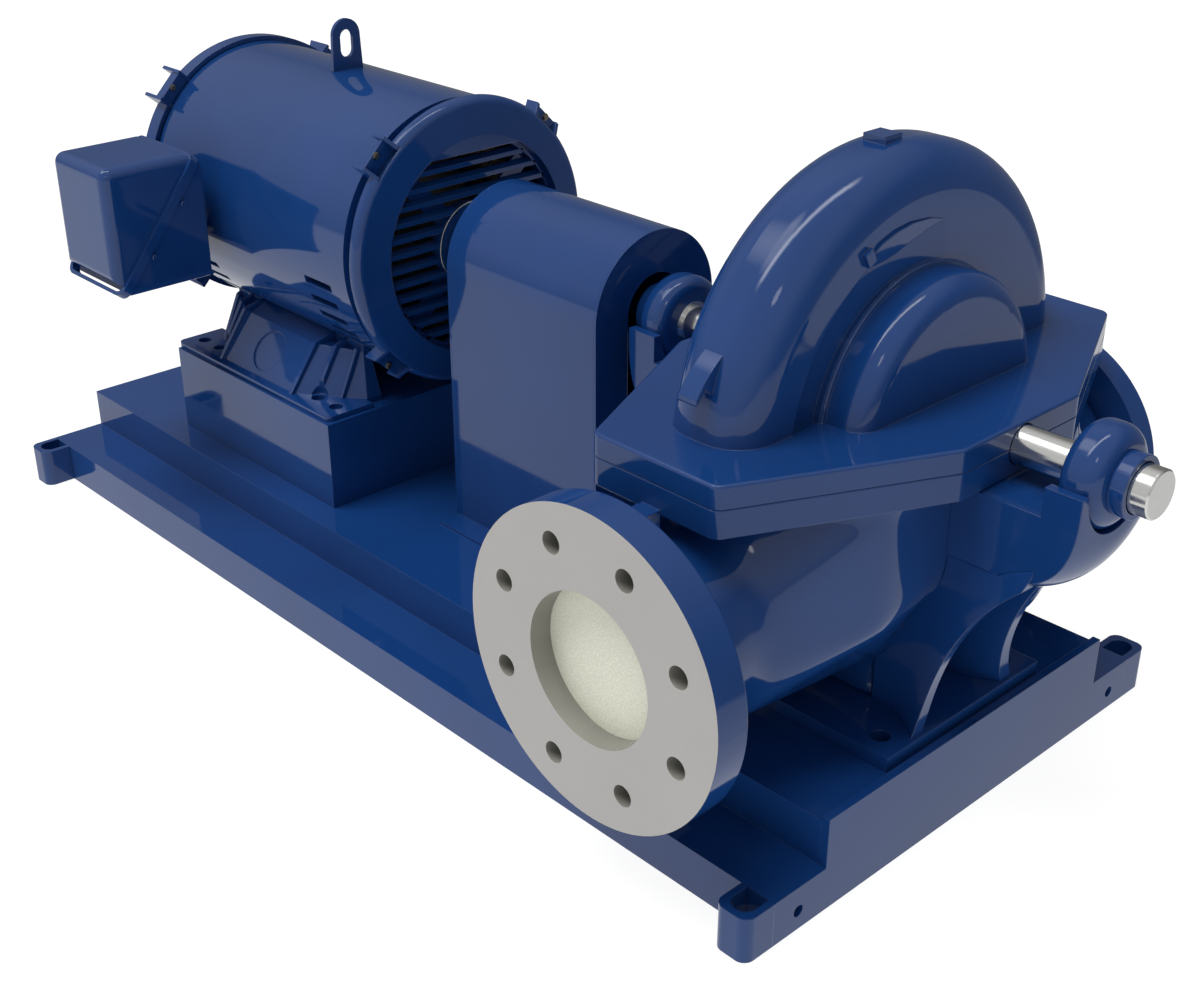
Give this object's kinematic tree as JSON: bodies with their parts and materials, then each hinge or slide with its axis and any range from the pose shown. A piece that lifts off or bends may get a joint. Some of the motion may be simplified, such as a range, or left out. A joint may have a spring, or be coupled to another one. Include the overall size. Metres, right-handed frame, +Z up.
{
  "type": "split case pump with motor on base",
  "caption": "Horizontal split case pump with flanged side nozzles, guarded coupling and open drip-proof motor on a steel base.",
  "frame": {"origin": "middle of the base's underside, on the floor", "axes": "+X along the shaft towards the pump, -Y towards the discharge flange, +Z up"},
  "size_m": [1.524, 0.719, 0.6758],
  "materials": {
    "blue_paint": "gloss blue enamel",
    "machined_face": "machined flange face, blue rim",
    "polished_steel": "ground shaft",
    "coil_winding": "varnished tan coils",
    "core_steel": "laminated core",
    "disc_face": "pale granular disc",
    "coupling_rubber": "tan rubber sleeve",
    "coupling_iron": "dark iron hub"
  },
  "bodies": {
    "skid": {"anchor_lug_motor_discharge": "blue_paint", "anchor_lug_motor_suction": "blue_paint", "anchor_lug_pump_discharge": "blue_paint", "anchor_lug_pump_suction": "blue_paint", "base_deck": "blue_paint", "base_end_plate_motor": "blue_paint", "base_end_plate_pump": "blue_paint", "conduit_box": "blue_paint", "conduit_box_cover": "blue_paint", "coupling_guard": "blue_paint", "discharge_bore_disc": "disc_face", "discharge_flange": "machined_face", "guard_end_plate_motor": "blue_paint", "guard_end_plate_pump": "blue_paint", "inboard_bearing_arm": "blue_paint", "inboard_bearing_cap": "blue_paint", "inboard_bearing_housing": "blue_paint", "inboard_foot_webs": "blue_paint", "lifting_eye": "blue_paint", "lower_casing": "blue_paint", "motor_feet": "blue_paint", "motor_front_bearing_cap": "blue_paint", "motor_front_bell": "blue_paint", "motor_front_louvres": "blue_paint", "motor_pedestal": "blue_paint", "motor_rear_bearing_cap": "blue_paint", "motor_rear_bell": "blue_paint", "motor_rear_louvres": "blue_paint", "motor_shell": "blue_paint", "outboard_bearing_arm": "blue_paint", "outboard_bearing_cap": "blue_paint", "outboard_bearing_housing": "blue_paint", "outboard_foot_webs": "blue_paint", "pump_foot_plate": "blue_paint", "stator_core": "core_steel", "stator_winding_front": "coil_winding", "stator_winding_rear": "coil_winding", "suction_bore_disc": "disc_face", "suction_flange": "machined_face", "upper_casing": "blue_paint"},
    "rotor": {"motor_shaft": "polished_steel", "pump_shaft": "polished_steel", "coupling_hub_motor": "coupling_iron", "coupling_hub_pump": "coupling_iron", "coupling_sleeve": "coupling_rubber"}
  },
  "joints": [
    {"name": "shaft_spin", "type": "hinge", "parent": "skid", "child": "rotor", "pos_m": [0.5208, 0, 0.4198], "axis": [1, 0, 0], "continuous": true}
  ]
}
